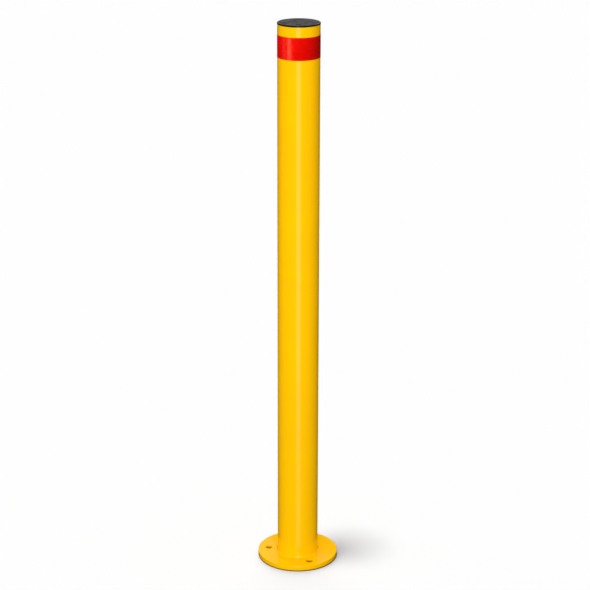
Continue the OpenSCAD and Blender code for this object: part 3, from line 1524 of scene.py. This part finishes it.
@dataclass(frozen=True)
class Studio:
    """Pale floor, soft light and plain surroundings.

    Attributes:
        camera_azimuth: The camera's azimuth in the part's frame, in degrees.
        floor_radius: The floor's radius.
        floor_segments: The steps round the floor's edge.
        floor_roughness: The floor's roughness.
        floor_colour: The floor's colour to the camera.
        floor_bounce: The floor's colour to bounced light.
        ambient: The even light from all round.
        mirrored: The level of what gloss sees where there is no card.
        lights: The lamps, softboxes and cards.
    """

    camera_azimuth: float
    floor_radius: float = 30.0
    floor_segments: int = 96
    floor_roughness: float = 0.9
    floor_colour: Colour = (0.2475, 0.2475, 0.2475, 1.0)
    floor_bounce: Colour = (0.092, 0.0893, 0.0842, 1.0)
    ambient: float = 0.40
    mirrored: float = 0.008
    lights: Sequence[DistantLamp | Softbox | ReflectionCard] = (
        DistantLamp("floor_key", level=2.54, azimuth=-74.6, elevation=84.4, softness=8, reaches=(Lit.FLOOR,)),
        DistantLamp(
            "floor_contact",
            level=1.92,
            azimuth=181.6,
            elevation=34,
            softness=56,
            reaches=(Lit.FLOOR,),
            blocking=(Lit.PLATE,),
        ),
        DistantLamp(
            "overhead_softbox",
            level=0.46,
            azimuth=-30,
            elevation=85,
            softness=90,
            reaches=GLOSSY_PARTS,
        ),
        DistantLamp("back_softbox", level=0.40, azimuth=180, elevation=35, softness=60),
        DistantLamp("left_softbox", level=0.14, azimuth=-100, elevation=50, softness=60, reaches=(Lit.POST,)),
        Softbox(
            "front_softbox",
            brightness=8.3,
            azimuth=-6,
            distance=3.2,
            height=1.25,
            size=(3.0, 1.2),
            reaches=GLOSSY_PARTS,
        ),
        DistantLamp("band_softbox", level=1.45, azimuth=-20, elevation=20, softness=40, reaches=(Lit.BAND,)),
        Softbox(
            "band_highlight",
            brightness=13,
            azimuth=-51.5,
            distance=1.2,
            height=0.92,
            size=(0.32, 0.9),
            reaches=(Lit.BAND,),
            glossy=True,
        ),
        Softbox(
            "band_side_highlight",
            brightness=2.6,
            azimuth=-84,
            distance=1.2,
            height=0.92,
            size=(0.2, 0.9),
            reaches=(Lit.BAND,),
            glossy=True,
        ),
        ReflectionCard(
            "front_strip",
            corners=((-0.475, -1.0), (0.806, -1.0), (0.338, 3.0), (-0.902, 3.0)),
            distance=-2.0,
            levels=(0.82, 1.52),
            fade=(0.0125, 0.2875),
            soft_sides=True,
            reaches=(Lit.POST, Lit.CAP),
        ),
        ReflectionCard(
            "foot_strip",
            corners=((-0.65, -0.9), (0.75, -0.9), (0.75, 6.0), (-0.65, 6.0)),
            distance=-2.1,
            levels=(0.6, 8.4),
            fade=(0.22, 0.5),
            soft_sides=True,
            reaches=(Lit.PLATE,),
        ),
        ReflectionCard(
            "back_left_panel",
            corners=((-0.13, 0.128), (0.0, 0.2), (0.0, 1.05), (-0.13, 1.05)),
            distance=0.35,
            levels=(0.3, 0.3),
        ),
        ReflectionCard(
            "back_right_panel",
            corners=((0.0, 0.192), (0.13, 0.2176), (0.13, 1.05), (0.0, 1.05)),
            distance=0.35,
            levels=(0.15, 0.36),
            fade=(0.0, 0.03),
        ),
        ReflectionCard(
            "back_sky",
            corners=((-0.6, 1.3), (0.6, 1.3), (0.6, 1.62), (-0.6, 1.62)),
            distance=1.0,
            levels=(0.1, 0.74),
            fade=(0.0, 0.8),
        ),
    )

    def build(self, pieces: Mapping[Lit, Sequence[bpy.types.Object]]) -> None:
        """Builds the floor, the surroundings, the lamps and the cards.

        Args:
            pieces: The bollard's pieces by light group.
        """
        reach = Reach({**pieces, Lit.FLOOR: (self.build_floor(),)})
        self.build_world()
        for light in self.lights:
            light.build(self.camera_azimuth, reach)
        bpy.context.scene.view_settings.view_transform = "Standard"
        log.info("studio: %d lamps and cards", len(self.lights))

    def build_floor(self) -> bpy.types.Object:
        """Builds the floor.

        Returns:
            The floor, which gloss passes by.
        """
        shape = bmesh.new()
        bmesh.ops.create_circle(
            shape, cap_ends=True, radius=self.floor_radius, segments=self.floor_segments
        )
        mesh = bpy.data.meshes.new("studio_floor")
        shape.to_mesh(mesh)
        shape.free()
        builder = FinishBuilder("pale_floor", self.floor_roughness, Specular_IOR_Level=0.0)
        seen = builder.add("ShaderNodeLightPath").outputs["Is Camera Ray"]
        builder.feed("Base Color", builder.blend(seen, self.floor_bounce, self.floor_colour))
        mesh.materials.append(builder.material)
        floor = add_object("studio_floor", mesh)
        floor.visible_glossy = False
        return floor

    def build_world(self) -> None:
        """Builds the surroundings: white to the camera, even to the surfaces, dark to gloss."""
        world = bpy.data.worlds.new("studio")
        bpy.context.scene.world = world
        world.use_nodes = True
        world.node_tree.nodes.clear()
        world.cycles.sampling_method = "NONE"
        builder = NodeBuilder(world.node_tree)
        path = builder.add("ShaderNodeLightPath").outputs
        even = builder.maths("MULTIPLY_ADD", path["Is Diffuse Ray"], self.ambient, path["Is Camera Ray"])
        level = builder.maths("MULTIPLY_ADD", path["Is Glossy Ray"], self.mirrored, even)
        white = (1.0, 1.0, 1.0, 1.0)
        background = builder.result("ShaderNodeBackground", {"Color": white, "Strength": level})
        builder.add("ShaderNodeOutputWorld", {"Surface": background})


@dataclass(frozen=True)
class PhotoCamera:
    """Camera at the photograph's viewing angle.

    Attributes:
        azimuth: Its azimuth in the part's frame, in degrees.
        distance: Its level distance from the post's axis.
        height: Its height above the floor.
        lens: Its focal length in millimetres.
        sensor: The width of its sensor in millimetres.
        pitch: How far it looks down, in degrees.
        yaw: How far it is turned to the left of the axis, in degrees.
        roll: How far it is rolled, in degrees.
        sight: How far it can see.
    """

    azimuth: float = 6.4
    distance: float = 3.680165
    height: float = 1.884875
    lens: float = 110.886
    sensor: float = 36.0
    pitch: float = 19.0354
    yaw: float = -0.1078
    roll: float = -0.1066
    sight: float = 200.0

    def build(self) -> None:
        """Builds the camera and makes it the scene's camera."""
        turn = Matrix.Rotation(math.radians(self.azimuth - self.yaw), 4, "Z")
        tilt = Matrix.Rotation(math.radians(90 - self.pitch), 4, "X")
        lean = Matrix.Rotation(math.radians(-self.roll), 4, "Z")
        around = math.radians(self.azimuth)
        place = Vector((self.distance * math.sin(around), -self.distance * math.cos(around), self.height))
        data = bpy.data.cameras.new("photo_camera")
        data.lens = self.lens
        data.sensor_width = self.sensor
        data.clip_end = self.sight
        camera = add_object("photo_camera", data)
        camera.matrix_world = Matrix.Translation(place) @ turn @ tilt @ lean
        bpy.context.scene.camera = camera


def main() -> None:
    """Builds the camera, the finishes, the pieces and the studio in order, and reports each piece."""
    logging.basicConfig(level=logging.INFO, format="%(name)s: %(message)s")
    camera = PhotoCamera()
    camera.build()
    end_cap = EndCap.from_frame()
    coat = PowderCoat().material()
    plastic = MouldedPlastic(end_cap.head_radius, end_cap.border_width).material()
    film = ReflectiveSheeting().material()
    plate = FloorPlate.from_frame().build(coat)
    tube = PostTube.from_frame().build(coat)
    weld = WeldBead.from_frame().build(coat)
    cap = end_cap.build(plastic)
    band = ReflectiveBand.from_frame().build(film)
    for piece in (plate, tube, weld, cap, band):
        log.info("%s: %d faces", piece.name, len(piece.data.polygons))
    lit = {Lit.PLATE: (plate, weld), Lit.POST: (tube,), Lit.CAP: (cap,), Lit.BAND: (band,)}
    Studio(camera.azimuth).build(lit)


if __name__ == "__main__":
    main()
